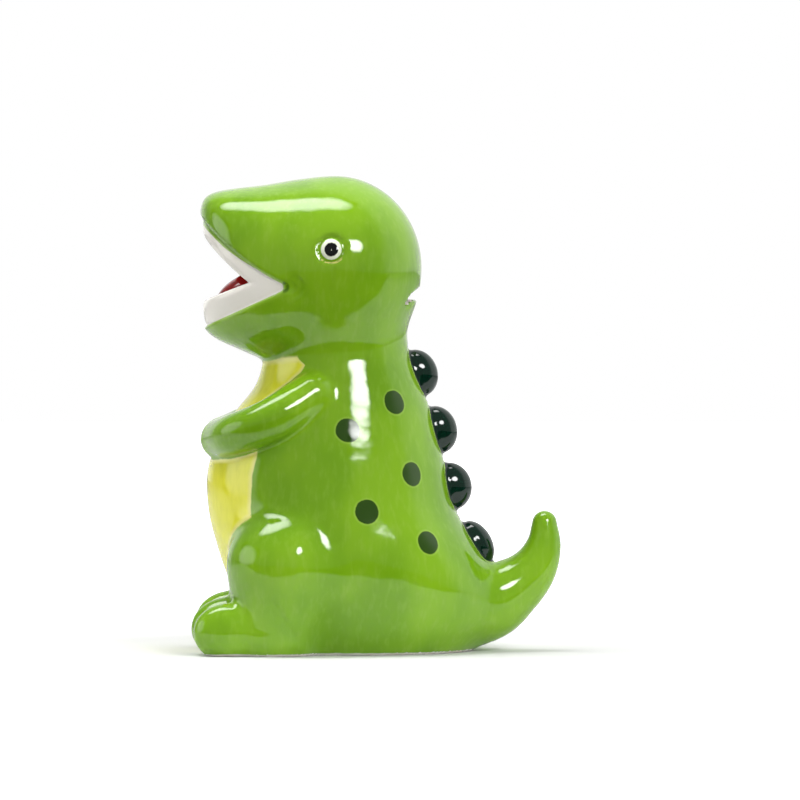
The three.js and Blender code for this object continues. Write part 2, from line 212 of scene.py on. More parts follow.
skull = {"y": -17.5, "z": 162, "half": 41, "depth": 36.4, "height": 38.4}
muzzleStations = [  # length, top, underside, half width, squareness of the section
    [-84, 191.4, 139.5, 23, 2.7],
    [-73.8, 193, 134.5, 27, 2.7],
    [-61.4, 194.9, 128.8, 31.6, 2.6],
    [-47.5, 196.6, 123.4, 36.2, 2.4],
    [-33.5, 198.9, 122.6, 39.6, 2.15],
    [-17.5, 200.4, 123.6, 41, 2],
    [-1.5, 198.9, 122.6, 39.6, 2],
]
mouth = {
    "noseTip": -74.6,
    "corner": (-35.2, 153.7),  # where the lips' lines cross; the opening ends at blunt
    "blunt": -38.6,
    "apex": (-53.4, 155.6),  # where the gums meet
    "lipDepth": 1.3,
    "gumDepth": 6.5,
    "gumThickness": 6,
}
lipLines = {  # slopes of the two lips and of the two gums, away from the corner
    "upperLip": 0.379,
    "upperLipCurl": 0.0099,
    "lowerLip": 0.455,
    "upperGum": 0.75,
    "upperGumCurl": 0.012,
    "lowerGum": 0.385,
}
edges = {  # how far each edge of the mouth is rounded
    "lip": 1.6,
    "gum": 3,
    "gumLine": 0.6,
    "throat": 4,
    "jaw": 3,
    "tongue": 1.5,
    "corner": 2,
    "cornerEnd": 1.5,
}
dimple = {"depth": 1.2, "radius": 2.6, "ringDepth": 0.8, "ringAt": 4.2, "ringWidth": 0.9}
noseRound = {"middle": -27, "reach": 13}
napeEnds = {"low": 123.4, "lowReach": 5, "high": 160, "highReach": 10}
tongueShape = {"y": -52.6, "z": 152.6, "tilt": 0.4, "radii": (10, 16, 7.4)}
eye = {
    "y": -18.8,
    "z": 169.4,
    "ring": 4.3,
    "pupil": 2.9,
    "glint": 0.45,
    "crescent": 5.7,  # radius of the painted highlight below the eye, where the socket's lower rim catches the light
    "socket": 0.9,  # depth, radius and width of the groove round the eye
    "socketAt": 5.2,
    "socketWidth": 0.9,
    "bulge": 0.7,
    "bulgeRadius": 4.6,
}

muzzleAt = stations(muzzleStations)


def wedge(y, z, start, rise, curl, fall, reach=0.01):
    s = start[0] - y
    above = (z - start[1] - rise * s - curl * s * s) / np.hypot(1, rise + 2 * curl * np.maximum(s, 0))
    below = (start[1] - fall * s - z) / math.hypot(1, fall)
    return smoothOverlap(above, below, reach)


def lipGap(y, z):
    slopes = (lipLines["upperLip"], lipLines["upperLipCurl"], lipLines["lowerLip"])
    opening = wedge(y, z, mouth["corner"], *slopes, edges["corner"])
    return smoothOverlap(opening, y - mouth["blunt"], edges["cornerEnd"])


def gumGap(y, z):
    return wedge(y, z, mouth["apex"], lipLines["upperGum"], lipLines["upperGumCurl"], lipLines["lowerGum"])


def tongue(x, y, z):
    rise, run = math.sin(tongueShape["tilt"]), math.cos(tongueShape["tilt"])
    dy, dz = y - tongueShape["y"], z - tongueShape["z"]
    return ellipsoid(x, dy * run + dz * rise, dz * run - dy * rise, *tongueShape["radii"])


def closedHead(x, y, z):
    # the head as if the mouth were shut: skull, muzzle and nape
    ball = ellipsoid(x, y - skull["y"], z - skull["z"], skull["half"], skull["depth"], skull["height"])
    top, under, half, power = muzzleAt(y)
    sides = oval(x, z - (top + under) / 2, half, (top - under) / 2, power)
    middle = noseRound["middle"]
    muzzle = smoothOverlap(sides, np.hypot(x, y - middle) - middle + mouth["noseTip"], noseRound["reach"])
    nape = smoothOverlap(column(napeAt, x, y, z), napeEnds["low"] - z, napeEnds["lowReach"])
    nape = smoothOverlap(nape, z - napeEnds["high"], napeEnds["highReach"])
    return smoothUnion(np.where(y > skull["y"], ball, muzzle), nape, joins["nape"])


def eyeDistance(y, z):
    return np.hypot(y - eye["y"], z - eye["z"])


def head(x, y, z):
    full = closedHead(x, y, z)
    away = eyeDistance(y, z)
    full = full + eye["socket"] * hill(away, eye["socketAt"], eye["socketWidth"])
    full = full - eye["bulge"] * np.clip(1 - (away / eye["bulgeRadius"]) ** 2, 0, 1)
    fromCorner = np.hypot(y - mouth["corner"][0], z - mouth["corner"][1])
    behind = np.clip((y - mouth["corner"][0] + 1) / 3, 0, 1)
    full = full + dimple["depth"] * hill(fromCorner, 0, dimple["radius"])
    full = full + dimple["ringDepth"] * behind * hill(fromCorner, dimple["ringAt"], dimple["ringWidth"])
    gap = gumGap(y, z)
    skin = smoothOverlap(full, -lipGap(y, z), edges["lip"])
    gums = smoothOverlap(full + mouth["lipDepth"], -gap, edges["gum"])
    hollow = smoothOverlap(gap - mouth["gumThickness"], full + mouth["gumDepth"], edges["throat"])
    jaws = smoothOverlap(smoothUnion(skin, gums, edges["gumLine"]), -hollow, edges["jaw"])
    return smoothUnion(jaws, tongue(x, y, z), edges["tongue"])


spikeRow = {
    "pitch": 23.9,
    "top": 117.2,
    "along": 10.2,
    "side": 7.6,
    "out": [8.6, 8.6, 9.3, 6.7],  # from the top; the lowest sits in the crook of the tail
    "slopeReach": 9,  # the back's slope is read this far above and below each spike
    "groove": 0.5,
    "grooveAt": 1.6,
    "grooveWidth": 0.8,
}
slot = {"width": 36, "height": 5, "level": 147.2, "arch": 3.6, "from": 5, "edge": 1.6}
holeLow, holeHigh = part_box("stopper")
hole = {
    "radius": 17,
    "seat": 21,  # radius and depth of the recess for the stopper's rim
    "depth": 2.4,
    "height": 12,
    "edge": 0.8,
    "y": (holeLow.y + holeHigh.y) / 2 / mm,
}


def spikePlaces():
    places = []
    for i, out in enumerate(spikeRow["out"]):
        z = spikeRow["top"] - i * spikeRow["pitch"]
        reach = spikeRow["slopeReach"]
        above, back, below = (trunkAt(np.array(z + step))[1] for step in (reach, 0, -reach))
        places.append((back, z, out, math.atan2(below - above, 2 * reach)))
    return places


spikes = spikePlaces()


def spike(x, y, z):
    distance = np.full(np.shape(x), 1e3)
    for back, level, out, lean in spikes:
        away = (y - back) * math.cos(lean) + (z - level) * math.sin(lean)
        along = (z - level) * math.cos(lean) - (y - back) * math.sin(lean)
        one = ellipsoid(x, away, along, spikeRow["side"], out, spikeRow["along"])
        distance = np.minimum(distance, one)
    return distance


def crease(x, y, z):
    (ay, az), (by, bz) = legCrease["from"], legCrease["to"]
    run, rise = by - ay, bz - az
    t = np.clip(((y - ay) * run + (z - az) * rise) / (run * run + rise * rise), 0, 1)
    away = np.hypot(y - ay - t * run, z - az - t * rise) / legCrease["width"]
    return np.where(x > legCrease["outerSide"], legCrease["depth"] * np.exp(-away ** 2), 0)


def figure(x, y, z):
    x = np.abs(x)
    leg = smoothUnion(thigh(x, y, z), shank(x, y, z), joins["leg"])
    body = smoothUnion(trunk(x, y, z), tail(x, y, z), joins["tail"])
    body = smoothUnion(body, leg, joins["haunch"])
    body = smoothUnion(body, foot(x, y, z), joins["foot"]) + crease(x, y, z)
    body = smoothUnion(body, head(x, y, z), joins["head"])
    body = smoothUnion(body, arm(x, y, z), joins["arm"])
    spiky = spike(x, y, z)
    groove = spikeRow["groove"] * hill(spiky, spikeRow["grooveAt"], spikeRow["grooveWidth"])
    return smoothUnion(body + groove, spiky, joins["spike"])


def outside(x, y, z):
    # the glazed surface, with its slot and hole sunk deep enough to meet the hollow
    shape = smoothOverlap(figure(x, y, z), -z, clay["footEdge"])
    slotX = np.maximum(np.abs(x) - slot["width"] / 2 + slot["height"] / 2, 0)
    middle = slot["level"] + slot["arch"] * np.maximum(1 - (2 * x / slot["width"]) ** 2, 0)
    bar = np.hypot(slotX, z - middle) - slot["height"] / 2
    bar = np.maximum(bar, slot["from"] - y)
    shape = smoothOverlap(shape, -bar, slot["edge"])
    fromHole = np.hypot(x, y - hole["y"])
    shaft = np.maximum(fromHole - hole["radius"], z - hole["height"])
    seat = np.maximum(fromHole - hole["seat"], z - hole["depth"])
    return smoothOverlap(shape, -np.minimum(shaft, seat), hole["edge"])


def hollowInside(x, y, z):
    return smoothOverlap(figure(x, y, z) + clay["wall"], clay["footing"] - z, clay["insideEdge"])


netting = {  # low, high, from and to of the fine part, fine and coarse steps
    "x": (-62, 62, -40, 40, 1.2, 1.5),
    "y": (-82, 82, -78, -30, 1.08, 1.4),
    "z": (-3, 206, 128, 190, 0.98, 1.46),
    "fade": 15,  # the steps grow to coarse over this length
    "block": 4,  # every fourth place is enough far from the surface
    "near": 12,
    "insideLimits": ((-60, 60), (-80, 80), (1, 204)),
    "inside": 2.6,
}


def gradedAxis(low, high, fineFrom, fineTo, fine, coarse):
    places = [low]
    while places[-1] < high:
        outsideBy = max(fineFrom - places[-1], places[-1] - fineTo, 0)
        places.append(places[-1] + fine + (coarse - fine) * min(outsideBy / netting["fade"], 1))
    return np.array(places)


def sample(shape, axes):
    # coarse everywhere, fine only near the surface
    grid = np.meshgrid(*axes, indexing="ij")
    block = netting["block"]
    values = shape(*(g[::block, ::block, ::block] for g in grid))
    for k in range(3):
        values = np.repeat(values, block, axis=k)
    values = values[tuple(slice(0, n) for n in grid[0].shape)].copy()
    near = np.abs(values) < netting["near"]
    values[near] = shape(*(g[near] for g in grid))
    return values


def gradient(shape, p):
    step = 0.03
    columns = []
    for k in range(3):
        ahead, behind = p.copy(), p.copy()
        ahead[:, k] += step
        behind[:, k] -= step
        columns.append((shape(*ahead.T) - shape(*behind.T)) / (2 * step))
    return np.stack(columns, 1)


def polygonise(shape, axes, turns=3):
    # a net of quads on a grid of even steps, stretched to the axes and then pulled onto the surface
    grid = openvdb.FloatGrid(50.0)
    grid.copyFromArray(sample(shape, axes).astype(np.float32))
    points, quads = grid.convertToQuads(0.0)
    p = np.stack([np.interp(points[:, k], np.arange(len(axes[k])), axes[k]) for k in range(3)], 1)
    for _ in range(turns):
        slope = gradient(shape, p)
        steep = np.maximum((slope ** 2).sum(1), 0.2)
        move = slope * (shape(*p.T) / steep)[:, None]
        p -= np.clip(move, -0.5, 0.5)
    quads = quads.astype(int)
    a, b, c = (p[quads[:, k]] for k in range(3))
    if np.einsum("ij,ij->", np.cross(b - a, c - a), a) < 0:
        quads = quads[:, ::-1]
    return p, quads


def biggestShell(p, quads):
    # a pocket that the main surface doesn't reach is left out
    label = np.arange(len(p))
    while True:
        low = label[quads].min(1)
        new = label.copy()
        for k in range(4):
            np.minimum.at(new, quads[:, k], low)
        new = new[new]
        if (new == label).all():
            break
        label = new
    names, counts = np.unique(label[quads[:, 0]], return_counts=True)
    keep = label[quads[:, 0]] == names[counts.argmax()]
    used, renamed = np.unique(quads[keep], return_inverse=True)
    return p[used], renamed.reshape(-1, 4)


def meshObject(name, p, faces):
    mesh = bpy.data.meshes.new(name)
    mesh.from_pydata((p * mm).tolist(), [], [list(face) for face in faces])
    mesh.update()
    thing = bpy.data.objects.new(name, mesh)
    bpy.context.collection.objects.link(thing)
    return thing


def finished(thing):
    # the modifiers' result as a plain mesh
    graph = bpy.context.evaluated_depsgraph_get()
    mesh = bpy.data.meshes.new_from_object(thing.evaluated_get(graph))
    thing.modifiers.clear()
    old = thing.data
    thing.data = mesh
    bpy.data.meshes.remove(old)
    return thing


def makeCasting():
    fine = [gradedAxis(*netting[axis]) for axis in "xyz"]
    skin = meshObject("dinosaurCasting", *biggestShell(*polygonise(outside, fine)))
    print("outer surface", len(skin.data.polygons))
    loose = [np.arange(low, high, netting["inside"]) for low, high in netting["insideLimits"]]
    inner = meshObject("castingHollow", *biggestShell(*polygonise(hollowInside, loose, 2)))
    cut = skin.modifiers.new("hollow", "BOOLEAN")
    cut.operation = "DIFFERENCE"
    cut.solver = "MANIFOLD"
    cut.object = inner
    finished(skin)
    bpy.data.objects.remove(inner)
    print("casting", sum(len(f.vertices) - 2 for f in skin.data.polygons), "triangles")
    return skin


# painted zones are kept on the mesh as distances in millimetres, positive inside
paint = {
    "armMargin": 0.9,  # green left round the arms, legs and head where they meet the yellow
    "legMargin": 1.2,
    "headMargin": 0.7,
    "spikeMargin": 0.9,
    "spotRadius": 5.1,
    "spots": [(7.6, 105.5), (-11.9, 94.1), (14.8, 75.6), (-3.9, 60.3), (21.6, 47.2)],
    "gumEdge": 0.25,
    "lipShade": 1.5,  # green carried over the edge of the upper lip
    "mouthLimits": (125, -33),  # the mouth's colours stay above and ahead of these
    "redStart": 1.6,
    "redReach": 7,
    "crease": 1.7,  # radius of the painted shade line round the mouth's corner, where the dimple's crease is shaded
    "ridgeReach": 3.0,
    "glazeDepth": 1.2,  # how far into the slot and the hole the glaze goes
    "glazeFoot": 0.3,  # the clay is bare below this height
}
bellyEdge = [[0, -50], [61.5, -52.5], [75.3, -51.8], [86.9, -49.2], [95, -46], [102, -50],
             [108, -44.6], [112, -39.2], [117, -32.4], [121, -29.6], [124, -33]]


def paintZones(p):
    x, y, z = np.abs(p[:, 0]), p[:, 1], p[:, 2]
    belly = np.interp(z, *np.array(bellyEdge).T) - y
    leg = smoothUnion(thigh(x, y, z), shank(x, y, z), joins["leg"])
    leg = smoothUnion(leg, foot(x, y, z), joins["haunch"])
    armAway, headAway = arm(x, y, z) - paint["armMargin"], head(x, y, z) - paint["headMargin"]
    zones = {"bellyEdge": np.minimum.reduce([belly, armAway, leg - paint["legMargin"], headAway])}
    spots = np.full(len(p), -50.0)
    for sy, sz in paint["spots"]:
        low, high, wide = trunkAt(np.array(sz))
        across = (sy - (low + high) / 2) / ((high - low) / 2)
        sx = wide * math.sqrt(max(1 - across ** 2, 0))
        away = np.sqrt((x - sx) ** 2 + (y - sy) ** 2 + (z - sz) ** 2)
        spots = np.maximum(spots, paint["spotRadius"] - away)
    zones["spotEdge"] = spots
    zones["spikeEdge"] = paint["spikeMargin"] - spike(x, y, z)
    mouthPart = (z > paint["mouthLimits"][0]) & (y < paint["mouthLimits"][1])
    lipShade = np.clip((-50 - y) / 14, 0, 1) * (z > 160) * paint["lipShade"]
    zones["gumEdge"] = np.where(mouthPart, -lipGap(y, z) - paint["gumEdge"] - lipShade, -20)
    # a dark green line painted round the blunt end of the mouth: painted shade for the dimple's crease
    fromCorner = np.hypot(y - mouth["blunt"], z - mouth["corner"][1])
    cornerShadeLine = 0.5 - np.abs(fromCorner - paint["crease"])
    zones["paintedCornerShade"] = np.where((y > mouth["blunt"] - 0.6) & (x > 15), cornerShadeLine, -20)
    deep = paint["redStart"] - closedHead(x, y, z) - mouth["gumDepth"]
    red = np.minimum(np.maximum(deep, 1.0 - tongue(x, y, z)), paint["redReach"] - gumGap(y, z))
    zones["tongueEdge"] = np.where(mouthPart, red, -20)
    zones["eyeAway"] = np.where((z > 150) & (x > 20), eyeDistance(y, z), 50)
    # painted highlight: a pale arc below the eye in place of light on the socket's lower rim
    below = np.clip((eye["z"] - 2.6 - z) / 1.2, 0, 1) * 0.45
    zones["paintedEyeRimHighlight"] = below - 0.1 - np.abs(zones["eyeAway"] - eye["crescent"])
    return zones


def paintCasting(skin):
    mesh = skin.data
    p = np.empty(len(mesh.vertices) * 3)
    mesh.vertices.foreach_get("co", p)
    p = p.reshape(-1, 3) / mm
    zones = paintZones(p)
    depth = figure(*p.T)
    slope = gradient(figure, p)
    slope /= np.linalg.norm(slope, axis=1)[:, None] + 1e-9
    probe = paint["ridgeReach"] * slope  # positive on ridges, negative in hollows
    zones["ridge"] = (figure(*(p + probe).T) + figure(*(p - probe).T)) / paint["ridgeReach"]
    for name, values in zones.items():
        mesh.attributes.new(name, "FLOAT", "POINT").data.foreach_set("value", values.astype(np.float32))
    bare = (depth < -paint["glazeDepth"]) | (p[:, 2] < paint["glazeFoot"])
    firstCorners = np.array([face.vertices[0] for face in mesh.polygons])
    mesh.polygons.foreach_set("material_index", bare[firstCorners].astype(int))
    mesh.polygons.foreach_set("use_smooth", np.ones(len(firstCorners), bool))
    print("painted", list(zones))


def linear(r, g, b):
    # a colour as picked on a screen, 0 to 255, in the values that shaders use
    return [((c / 255 + 0.055) / 1.055) ** 2.4 if c > 10 else c / 255 / 12.92 for c in (r, g, b)] + [1]


class Sheet:
    # a few words for wiring a material
    def __init__(self, name):
        self.material = bpy.data.materials.new(name)
        self.material.use_nodes = True
        self.tree = self.material.node_tree
        self.shader = self.tree.nodes["Principled BSDF"]

    def put(self, socket, value):
        if isinstance(value, bpy.types.NodeSocket):
            self.tree.links.new(value, socket)
        else:
            socket.default_value = value

    def add(self, kind, inputs=(), **settings):
        node = self.tree.nodes.new(kind)
        for name, value in settings.items():
            setattr(node, name, value)
        for key, value in dict(inputs).items():
            self.put(node.inputs[key], value)
        return node

    def zone(self, name):
        return self.add("ShaderNodeAttribute", attribute_name=name).outputs["Fac"]

    def maths(self, operation, a, b=0.0):
        return self.add("ShaderNodeMath", {0: a, 1: b}, operation=operation).outputs[0]

    def ramp(self, value, low, high, start=0.0, end=1.0):
        limits = {"Value": value, "From Min": low, "From Max": high, "To Min": start, "To Max": end}
        node = self.add("ShaderNodeMapRange", limits, interpolation_type="SMOOTHSTEP")
        return node.outputs["Result"]

    def noise(self, scale, stretch=(1, 1, 1), detail=2.0, roughness=0.5):
        place = self.add("ShaderNodeTexCoord").outputs["Object"]
        mapped = self.add("ShaderNodeMapping", {"Vector": place, "Scale": stretch}).outputs[0]
        made = self.add("ShaderNodeTexNoise", {"Vector": mapped, "Scale": scale, "Detail": detail,
                                               "Roughness": roughness})
        return made.outputs["Fac"]

    def blend(self, factor, first, second):
        node = self.add("ShaderNodeMix", {0: factor, 6: first, 7: second}, data_type="RGBA")
        return node.outputs[2]


glaze = {
    "leaf": linear(130, 178, 28),
    "leafDeep": linear(112, 161, 18),
    "leafPale": linear(170, 206, 88),
    "belly": linear(240, 238, 62),
    "bellyStroke": linear(226, 226, 44),
    "bellyRim": linear(244, 240, 140),
    "spot": linear(40, 72, 6),
    # painted shade colour for the crease round the mouth's corner
    "crease": linear(44, 84, 4),
    "spike": linear(3, 36, 24),
    "gum": linear(250, 246, 236),
    "tongue": linear(190, 44, 40),
    "throat": linear(124, 18, 22),
    "eyeRing": linear(246, 250, 228),
    "pupil": linear(8, 10, 8),
    "bisque": linear(236, 232, 224),
}


def glazedPaint():
    sheet = Sheet("glazedCeramic")
    ridge = sheet.zone("ridge")
    streaks = sheet.noise(420, (1, 1, 0.3), 4)
    clouds = sheet.noise(38, (1, 1, 0.6), 2)
    wobble = sheet.maths("MULTIPLY", sheet.maths("SUBTRACT", sheet.noise(160), 0.5), 0.9)

    def inside(name, soft=0.25, wobbly=True):
        edge = sheet.maths("ADD", sheet.zone(name), wobble) if wobbly else sheet.zone(name)
        return sheet.ramp(edge, -soft, soft)

    green = sheet.blend(sheet.ramp(clouds, 0.35, 0.68), glaze["leaf"], glaze["leafDeep"])
    green = sheet.blend(sheet.ramp(streaks, 0.45, 0.75, 0, 0.16), green, glaze["leafPale"])
    green = sheet.blend(sheet.ramp(ridge, -0.10, -0.9, 0, 0.75), green, glaze["leafDeep"])
    green = sheet.blend(sheet.ramp(ridge, 0.25, 1.2, 0, 0.8), green, glaze["leafPale"])
    belly = sheet.blend(sheet.ramp(streaks, 0.4, 0.7, 0, 0.5), glaze["belly"], glaze["bellyStroke"])
    rim = sheet.ramp(sheet.zone("bellyEdge"), 2.2, 0.2)
    belly = sheet.blend(rim, belly, glaze["bellyRim"])
    colour = sheet.blend(inside("bellyEdge", 0.35), green, belly)
    spotHalo = sheet.ramp(sheet.zone("spotEdge"), -1.2, -0.2, 0, 0.35)
    colour = sheet.blend(spotHalo, colour, glaze["leafPale"])
    colour = sheet.blend(inside("spotEdge"), colour, glaze["spot"])
    spikeHalo = sheet.ramp(sheet.zone("spikeEdge"), -1.3, -0.2, 0, 0.45)
    colour = sheet.blend(spikeHalo, colour, glaze["leafPale"])
    colour = sheet.blend(inside("spikeEdge"), colour, glaze["spike"])
    lipLine = sheet.ramp(sheet.zone("gumEdge"), -0.9, -0.1, 0, 0.8)
    colour = sheet.blend(lipLine, colour, glaze["leafPale"])
    # painted shade: a dark line round the mouth's corner where the dimple's crease is shaded
    colour = sheet.blend(sheet.ramp(sheet.zone("paintedCornerShade"), -0.6, 0.3, 0, 0.75), colour, glaze["crease"])
    colour = sheet.blend(inside("gumEdge", 0.2, False), colour, glaze["gum"])
    red = sheet.blend(sheet.ramp(ridge, 0.1, -0.5), glaze["tongue"], glaze["throat"])
    colour = sheet.blend(inside("tongueEdge", 0.5), colour, red)
    # painted highlight below the eye, in the belly's pale rim colour
    colour = sheet.blend(sheet.ramp(sheet.zone("paintedEyeRimHighlight"), -0.3, 0.2), colour, glaze["bellyRim"])
    away = sheet.zone("eyeAway")
    colour = sheet.blend(sheet.ramp(away, eye["ring"] + 0.25, eye["ring"] - 0.25), colour, glaze["eyeRing"])
    colour = sheet.blend(sheet.ramp(away, eye["pupil"] + 0.2, eye["pupil"] - 0.2), colour, glaze["pupil"])
    colour = sheet.blend(sheet.ramp(away, eye["glint"] + 0.15, eye["glint"] - 0.15), colour, glaze["eyeRing"])
    place = sheet.add("ShaderNodeTexCoord").outputs["Object"]
    height = sheet.add("ShaderNodeSeparateXYZ", {0: place}).outputs[2]
    foot = sheet.maths("ADD", height, sheet.maths("MULTIPLY", wobble, 0.0008))
    colour = sheet.blend(sheet.ramp(foot, 0.0012, 0.0007), colour, glaze["bisque"])
    sheet.put(sheet.shader.inputs["Base Color"], colour)
    sheet.put(sheet.shader.inputs["Roughness"], sheet.ramp(sheet.noise(70), 0.3, 0.7, 0.05, 0.09))
    sheet.put(sheet.shader.inputs["IOR"], 1.52)
    ripple = sheet.add("ShaderNodeBump", {"Height": sheet.noise(62, (1, 1, 1), 2.5, 0.4), "Strength": 0.4,
                                          "Distance": 0.0012})
    sheet.put(sheet.shader.inputs["Normal"], ripple.outputs[0])
    return sheet.material


def bareClay():
    sheet = Sheet("bareClay")
    grain = sheet.noise(2600, (1, 1, 1), 4)
    colour = sheet.blend(sheet.ramp(sheet.noise(90), 0.3, 0.7), glaze["bisque"], linear(222, 214, 200))
    sheet.put(sheet.shader.inputs["Base Color"], colour)
    sheet.put(sheet.shader.inputs["Roughness"], 0.78)
    bump = sheet.add("ShaderNodeBump", {"Height": grain, "Strength": 0.3, "Distance": 0.0002})
    sheet.put(sheet.shader.inputs["Normal"], bump.outputs[0])
    return sheet.material


def blackRubber():
    sheet = Sheet("stopperRubber")
    mottle = sheet.blend(sheet.noise(60), linear(34, 34, 33), linear(48, 47, 45))
    sheet.put(sheet.shader.inputs["Base Color"], mottle)
    sheet.put(sheet.shader.inputs["Roughness"], sheet.ramp(sheet.noise(300), 0.3, 0.7, 0.55, 0.75))
    bump = sheet.add("ShaderNodeBump", {"Height": sheet.noise(1800), "Strength": 0.3, "Distance": 0.0001})
    sheet.put(sheet.shader.inputs["Normal"], bump.outputs[0])
    return sheet.material


plug = {
    "gap": 0.3,  # between the rubber and the clay
    "underside": 0.8,
    "reach": 9,  # height of the plug's top
    "recess": 3.1,  # height of the floor of the hollow in the top
    "lip": 4.5,
    "segments": 96,
    "ribs": 24,
    "ribSize": (3.4, 0.6, 0.4),  # half length, half width, depth
    "ribRing": 14.6,
}


def lathe(profile, segments):
    # rings about the Z axis, closed flat at both ends
    turn = np.arange(segments) * 2 * np.pi / segments
    p = np.concatenate([np.stack([r * np.cos(turn), r * np.sin(turn), np.full(segments, z)], 1)
                        for r, z in profile])
    last = (len(profile) - 1) * segments
    faces = [list(range(segments))[::-1], list(range(last, last + segments))]
    for ring in range(0, last, segments):
        for k in range(segments):
            after = (k + 1) % segments
            faces.append([ring + k, ring + after, ring + segments + after, ring + segments + k])
    return p, faces


def ribTree(material):
    # raised grip ribs round the underside, like spokes
    tree = bpy.data.node_groups.new("gripRibs", "GeometryNodeTree")
    tree.interface.new_socket("Geometry", in_out="INPUT", socket_type="NodeSocketGeometry")
    tree.interface.new_socket("Count", in_out="INPUT", socket_type="NodeSocketInt")
    for name in ("Ring Radius", "Length", "Width", "Depth"):
        tree.interface.new_socket(name, in_out="INPUT", socket_type="NodeSocketFloat")
    tree.interface.new_socket("Middle", in_out="INPUT", socket_type="NodeSocketVector")
    tree.interface.new_socket("Geometry", in_out="OUTPUT", socket_type="NodeSocketGeometry")
    given = tree.nodes.new("NodeGroupInput").outputs
    ring = tree.nodes.new("GeometryNodeMeshCircle")
    rib = tree.nodes.new("GeometryNodeMeshUVSphere")
    rib.inputs["Segments"].default_value = 16
    rib.inputs["Rings"].default_value = 8
    size = tree.nodes.new("ShaderNodeCombineXYZ")
    place = tree.nodes.new("GeometryNodeInputPosition")
    aim = tree.nodes.new("FunctionNodeAlignRotationToVector")
    aim.axis = "X"
    spokes = tree.nodes.new("GeometryNodeInstanceOnPoints")
    real = tree.nodes.new("GeometryNodeRealizeInstances")
    move = tree.nodes.new("GeometryNodeTransform")
    join = tree.nodes.new("GeometryNodeJoinGeometry")
    paintIt = tree.nodes.new("GeometryNodeSetMaterial")
    paintIt.inputs["Material"].default_value = material
    result = tree.nodes.new("NodeGroupOutput")
    wires = [
        (given["Count"], ring.inputs["Vertices"]),
        (given["Ring Radius"], ring.inputs["Radius"]),
        (given["Length"], size.inputs["X"]),
        (given["Width"], size.inputs["Y"]),
        (given["Depth"], size.inputs["Z"]),
        (place.outputs[0], aim.inputs["Vector"]),
        (ring.outputs["Mesh"], spokes.inputs["Points"]),
        (rib.outputs["Mesh"], spokes.inputs["Instance"]),
        (aim.outputs["Rotation"], spokes.inputs["Rotation"]),
        (size.outputs[0], spokes.inputs["Scale"]),
        (spokes.outputs[0], move.inputs["Geometry"]),
        (given["Middle"], move.inputs["Translation"]),
        (given["Geometry"], join.inputs[0]),
        (move.outputs[0], join.inputs[0]),
        (join.outputs[0], real.inputs[0]),
        (real.outputs[0], paintIt.inputs["Geometry"]),
        (paintIt.outputs[0], result.inputs[0]),
    ]
    for start, end in wires:
        tree.links.new(start, end)
    return tree


def makeStopper():
    rim, shaft = hole["seat"] - plug["gap"], hole["radius"] - plug["gap"]
    under, seatTop, top = plug["underside"], hole["depth"] - plug["gap"], plug["reach"]
    brim, floor = shaft - plug["lip"], plug["recess"]
    profile = [
        (rim - 1, under), (rim - 0.4, under + 0.15), (rim, under + 0.6), (rim, seatTop - 0.2),
        (rim - 0.25, seatTop), (shaft + 0.2, seatTop), (shaft, seatTop + 0.2), (shaft, top - 3),
        (shaft - 1.3, top - 0.3), (shaft - 1.8, top), (brim + 0.4, top), (brim, top - 0.4),
        (brim - 0.9, floor + 0.4), (brim - 1.3, floor),
    ]
    p, faces = lathe(profile, plug["segments"])
    thing = meshObject("stopperPlug", p + [0, hole["y"], 0], faces)
    rubber = blackRubber()
    thing.data.materials.append(rubber)
    ribs = thing.modifiers.new("ribs", "NODES")
    ribs.node_group = ribTree(rubber)
    middle = (0, hole["y"] * mm, under * mm)
    values = {"Count": plug["ribs"], "Ring Radius": plug["ribRing"] * mm, "Middle": middle}
    values.update(zip(("Length", "Width", "Depth"), (size * mm for size in plug["ribSize"])))
    for item in ribs.node_group.interface.items_tree:
        if item.name in values:
            ribs[item.identifier] = values[item.name]
    finished(thing)
    print("stopper", len(thing.data.polygons), "faces")
    return thing


casting = makeCasting()
casting.data.materials.clear()
casting.data.materials.append(glazedPaint())
casting.data.materials.append(bareClay())
paintCasting(casting)
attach(casting, "root")
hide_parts("dinosaur_body")

stopper = makeStopper()
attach(stopper, "root")
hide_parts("stopper")

studio = {
    "elevation": 1.2,
    "distance": 3.0,
    "width": 0.3376,  # of what the camera takes in at the figure
    "aim": (0, 0.0098, 0.1059),
    "sensor": 36,
    "floor": 4.0,
    "tableEdge": 0.165,
    "table": [0.78, 0.78, 0.78, 1],
    "beyond": [0.02, 0.02, 0.02, 1],
    "lamps": [  # name, azimuth, elevation, distance, size, glow
        ("overhead", 0, 76, 1.3, (0.6, 1.7), 9.5),
        ("sideWindow", 121, 29.5, 1.5, (0.72, 0.46), 24),
        ("frontFill", 4, 12, 1.6, (1.4, 1.1), 2.2),
    ],
    "backdropSide": (-0.868, 0.497, 0),
    "backdrop": {"From Min": 0.18, "From Max": 0.48, "To Min": 0.27, "To Max": 1.0},
}


